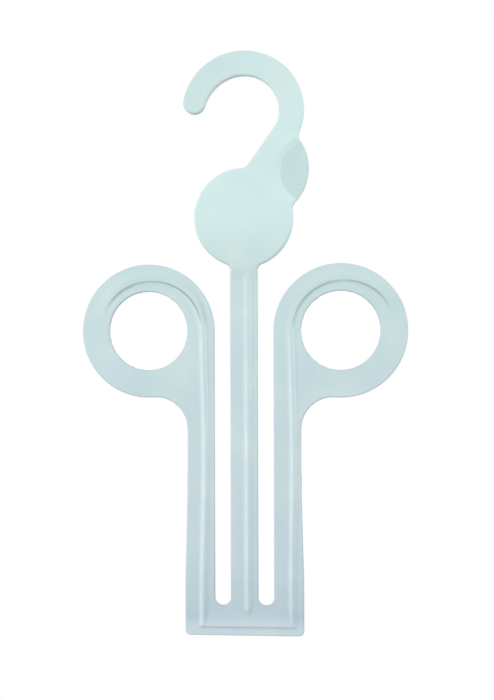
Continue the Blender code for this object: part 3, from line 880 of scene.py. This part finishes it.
rib_tip = line(complex(STEM_RIB_SHIFT, STEM_RIB_TIP), complex(STEM_RIB_SHIFT, STEM_FOOT))
base_rows = flank_rows(rib_tip, -1) + flank_rows(rib_tip, 1)
for share in FLANK_SHARES:
    for outside, bar_end in ((1, BASE_RIB_DOWN), (-1, BASE_RIB_UP)):
        bar_z = base_rib_z - outside * (RIB_CREST + share * (bar_end - RIB_CREST))
        ends = []
        for side in (-1, 1):
            start, end = flank(complex(side * outside, 0))
            ends.append(BASE_RIB_SHIFT + side * (pivot_x + outside * (start + share * (end - start))))
        base_rows.append(stops(*ends) + 1j * bar_z)
        base_rows += [x + 1j * stops(bar_z, root_z) for x in ends]
base_pins = [complex(side * slot_x, floor_z + BASE_PIN_RISE) for side in (-1, 1)]
base = mould(
    "base_bar",
    [base_loop],
    base_depth,
    guides=base_rows,
    marks=[(pin, BASE_PIN_RADIUS, PIN_DEPTH) for pin in base_pins],
)
base.data.materials.append(plastic)
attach(base, "frame")
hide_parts("base_bar")


# Arms
# Two springy ribbed strips of the same moulding, one beside each slot. In the real hanger they bend
# near the root, where they grow out of the base, and let the rings give way.
RING_OUTER_RADIUS = 0.0251
RING_HOLE_RADIUS = 0.0148
RING_DROP = 0.0957
RING_RIB_RADIUS = 0.0197
ARM_FILLET_RADIUS = 0.0119
ARM_SEAM_BELOW_FILLET = 0.0010
ARM_FLARE_LENGTH = 0.0380
ARM_FLARE_FOOT_RISE = 0.0060
ARM_RIB_SHIFT = 0.0023
RIB_OVERRUN = 0.005
ring_centre = complex(arm_inner + RING_OUTER_RADIUS, -RING_DROP)
arm_outer = arm_inner + RING_OUTER_RADIUS - RING_HOLE_RADIUS
arm_rib_x = ring_centre.real - RING_RIB_RADIUS
fillet_aside = ring_centre.real - arm_outer - ARM_FILLET_RADIUS
fillet_reach = RING_OUTER_RADIUS + ARM_FILLET_RADIUS
fillet_centre = ring_centre - fillet_aside - 1j * math.sqrt(fillet_reach**2 - fillet_aside**2)
arm_top = fillet_centre.imag - ARM_SEAM_BELOW_FILLET
flare_foot = root_z + ARM_FLARE_FOOT_RISE
flare_top = flare_foot + ARM_FLARE_LENGTH
arm_inner_rim = line(complex(arm_inner, arm_top), complex(arm_inner, root_z))
arm_outer_rim = chain(
    line(complex(foot_half, root_z), complex(foot_half, flare_foot)),
    line(complex(foot_half, flare_foot), complex(arm_outer, flare_top)),
    line(complex(arm_outer, flare_top), complex(arm_outer, arm_top)),
)
arm_seam = line(complex(arm_outer, arm_top), complex(arm_inner, arm_top), SEAM_STEP)
arm_seam = seam(arm_seam, FLANGE_DEPTH)
arm_rib = chain(
    line(complex(pivot_x, root_z - RIB_OVERRUN), complex(pivot_x, flare_foot)),
    line(complex(pivot_x, flare_foot), complex(arm_rib_x, flare_top)),
    line(complex(arm_rib_x, flare_top), complex(arm_rib_x, arm_top + RIB_OVERRUN)),
)
arm_rib_shift = np.interp(arm_rib.imag, (flare_foot, flare_top), (BASE_RIB_SHIFT, ARM_RIB_SHIFT))
for side, label in ((-1, "left"), (1, "right")):
    rib = mirrored(arm_rib, side) + arm_rib_shift

    def arm_depth(points):
        return ribbed(rib_share(-nearest(points, rib)[1]))

    arm_loop = [(mirrored(arm_inner_rim, side), False), (mirrored(root_seam[::-1], side), True)]
    arm_loop += [(mirrored(arm_outer_rim, side), False), (mirrored(arm_seam, side), True)]
    arm = mould(label + "_arm", [arm_loop], arm_depth, guides=flank_rows(rib, -1) + flank_rows(rib, 1))
    arm.data.materials.append(plastic)
    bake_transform(arm)
    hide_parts(label + "_arm")


# Rings
# The flat rings at the arms' heads, which hold the sandals' straps, each with its web and
# fillet. The arm's rib runs on round the ring and dies out past the top.
RING_RIB_SHIFT = 0.0013
RING_RIB_LIFT = 0.0006
RING_RIB_END = 10
RING_RIB_FADE = 54
RIGHT_RIB_DIP = 0.45
RIGHT_RIB_DIP_AT = 150
RIGHT_RIB_DIP_REACH = 45
RING_PIN_RADIUS = 0.0200
RING_PIN_ANGLE = -35
RING_WEB_PIN = -0.0125 - 0.0172j
fillet_angle = angle_at(ring_centre, fillet_centre)
ring_rim = chain(
    line(complex(arm_inner, arm_top), complex(arm_inner, ring_centre.imag)),
    arc(ring_centre, RING_OUTER_RADIUS, 180, fillet_angle),
    arc(fillet_centre, ARM_FILLET_RADIUS, angle_at(fillet_centre, ring_centre), 180),
    line(complex(arm_outer, fillet_centre.imag), complex(arm_outer, arm_top)),
)
ring_hole = arc(ring_centre, RING_HOLE_RADIUS, 0, 360)
ring_bend = arc(ring_centre, RING_RIB_RADIUS, 180, RING_RIB_END)
ring_rise = line(complex(arm_rib_x, arm_top - RIB_OVERRUN), complex(arm_rib_x, ring_centre.imag))
ring_rib = chain(ring_rise, ring_bend)
below_centre = np.maximum(ring_centre.imag - ring_rib.imag, 0)
rise_lean = (ARM_RIB_SHIFT - RING_RIB_SHIFT) * below_centre / (ring_centre.imag - arm_top)
turned = np.degrees(np.angle(ring_rib - ring_centre)) % 360
rib_shares = np.where(turned > 180, 1, soft_step((turned - RING_RIB_END) / RING_RIB_FADE))
dip = RIGHT_RIB_DIP * (1 - soft_step(abs(turned - RIGHT_RIB_DIP_AT) / RIGHT_RIB_DIP_REACH))
shift = complex(RING_RIB_SHIFT, RING_RIB_LIFT)
for side, label, shares in ((-1, "left", rib_shares), (1, "right", rib_shares * (1 - dip))):
    rib = mirrored(ring_rib, side) + shift + rise_lean
    centre = mirrored(ring_centre, side) + shift

    def ring_depth(points):
        _, way, share = nearest(points, rib, shares)
        return ribbed(rib_share(-way) * share)

    rise = rib[: len(ring_rise)]
    bend = rib[len(ring_rise) :]
    out = (bend - centre) / abs(bend - centre)
    ring_rows = flank_rows(rise, -1) + flank_rows(rise, 1)
    ring_rows += flank_rows(bend, out) + flank_rows(bend, -out)
    ring_loops = [
        [(mirrored(ring_rim, side), False), (mirrored(arm_seam, side), True)],
        [(mirrored(ring_hole, side), False)],
    ]
    ring_pins = (ring_centre + RING_WEB_PIN, on_circle(ring_centre, RING_PIN_RADIUS, RING_PIN_ANGLE))
    ring = mould(
        label + "_ring",
        ring_loops,
        ring_depth,
        guides=ring_rows,
        marks=[(mirrored(pin, side), PIN_RADIUS, PIN_DEPTH) for pin in ring_pins],
    )
    ring.data.materials.append(plastic)
    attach(ring, label + "_arm_body")
    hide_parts(label + "_ring")


# Studio
# A pale paper floor well under the hanging moulding, an even white surround, a window at the left
# and a weaker lamp at the right. Further out than the fade, the camera sees the floor as white.
FLOOR_Z = -0.60
FLOOR_HALF = 3.0
FLOOR_COLOUR = (0.76, 0.77, 0.77, 1)
FLOOR_ROUGHNESS = 0.9
FLOOR_BOUNCE_COLOUR = (0.46, 0.47, 0.48, 1)
FADE_START = 0.16
FADE_END = 0.48
SURROUND_COLOUR = (1, 1, 1, 1)
SURROUND_STRENGTH = 1.0
LAMPS = (
    ("window", 0.45, 3.7, (-0.85, -0.62, -0.28)),
    ("side_lamp", 0.35, 2.3, (0.98, -0.36, 0.0)),
)
LAMP_AIM = Vector((0, 0, -0.1))
CAMERA_YAW = math.radians(5.07)
CAMERA_PITCH = math.radians(0.13)
CAMERA_ROLL = math.radians(-0.15)
CAMERA_TARGET = Vector((0.00108, 0, -0.10296))
CAMERA_DISTANCE = 0.5258
CAMERA_LENS = 72
SENSOR_WIDTH = 36


def mixed_light(tree, share, one, two):
    """The result of a shader mix."""
    mix = tree.nodes.new("ShaderNodeMixShader")
    for socket, value in zip(mix.inputs, (share, one, two)):
        fill(tree, socket, value)
    return mix.outputs["Shader"]


floor_mesh = bpy.data.meshes.new("floor")
floor_corners = [
    (x * FLOOR_HALF, y * FLOOR_HALF, FLOOR_Z) for x, y in ((-1, -1), (1, -1), (1, 1), (-1, 1))
]
floor_mesh.from_pydata(floor_corners, [], [(0, 1, 2, 3)])
floor = bpy.data.objects.new("floor", floor_mesh)
bpy.context.scene.collection.objects.link(floor)
paper = bpy.data.materials.new("studio_paper")
paper.use_nodes = True
tree = paper.node_tree
pale = tree.nodes["Principled BSDF"]
fill(tree, pale.inputs["Base Color"], FLOOR_COLOUR)
fill(tree, pale.inputs["Roughness"], FLOOR_ROUGHNESS)
white = add_node(tree, "ShaderNodeEmission")
bounced = add_node(tree, "ShaderNodeBsdfDiffuse", Color=FLOOR_BOUNCE_COLOUR)
flat_place = stretched(tree, add_node(tree, "ShaderNodeTexCoord").outputs["Object"], (1, 1, 0))
fade = rising(tree, distance_from(tree, flat_place, (0, 0, 0)), FADE_START, FADE_END)
seen = mixed_light(tree, fade, pale.outputs["BSDF"], white.outputs["Emission"])
ray = add_node(tree, "ShaderNodeLightPath")
light = mixed_light(tree, ray.outputs["Is Camera Ray"], bounced.outputs["BSDF"], seen)
fill(tree, tree.nodes["Material Output"].inputs["Surface"], light)
floor_mesh.materials.append(paper)

world = bpy.data.worlds.new("studio")
bpy.context.scene.world = world
world.use_nodes = True
surround = world.node_tree.nodes["Background"]
surround.inputs["Color"].default_value = SURROUND_COLOUR
surround.inputs["Strength"].default_value = SURROUND_STRENGTH

for label, size, power, spot in LAMPS:
    lamp_data = bpy.data.lights.new(label, "AREA")
    lamp_data.size = size
    lamp_data.energy = power
    lamp = bpy.data.objects.new(label, lamp_data)
    lamp.location = spot
    lamp.rotation_euler = (LAMP_AIM - lamp.location).to_track_quat("-Z", "Y").to_euler()
    bpy.context.scene.collection.objects.link(lamp)

forward = Vector((-math.sin(CAMERA_YAW), math.cos(CAMERA_YAW), 0))
ahead = math.cos(CAMERA_PITCH) * forward + math.sin(CAMERA_PITCH) * Vector((0, 0, 1))
level = Vector((math.cos(CAMERA_YAW), math.sin(CAMERA_YAW), 0))
upright = level.cross(ahead)
camera_right = math.cos(CAMERA_ROLL) * level + math.sin(CAMERA_ROLL) * upright
camera_up = math.cos(CAMERA_ROLL) * upright - math.sin(CAMERA_ROLL) * level
camera_turn = Matrix((camera_right, camera_up, -ahead)).transposed().to_4x4()
camera_data = bpy.data.cameras.new("photo_camera")
camera_data.lens = CAMERA_LENS
camera_data.sensor_width = SENSOR_WIDTH
camera = bpy.data.objects.new("photo_camera", camera_data)
camera.matrix_world = Matrix.Translation(CAMERA_TARGET - CAMERA_DISTANCE * ahead) @ camera_turn
bpy.context.scene.collection.objects.link(camera)
bpy.context.scene.camera = camera
bpy.context.scene.view_settings.view_transform = "Standard"
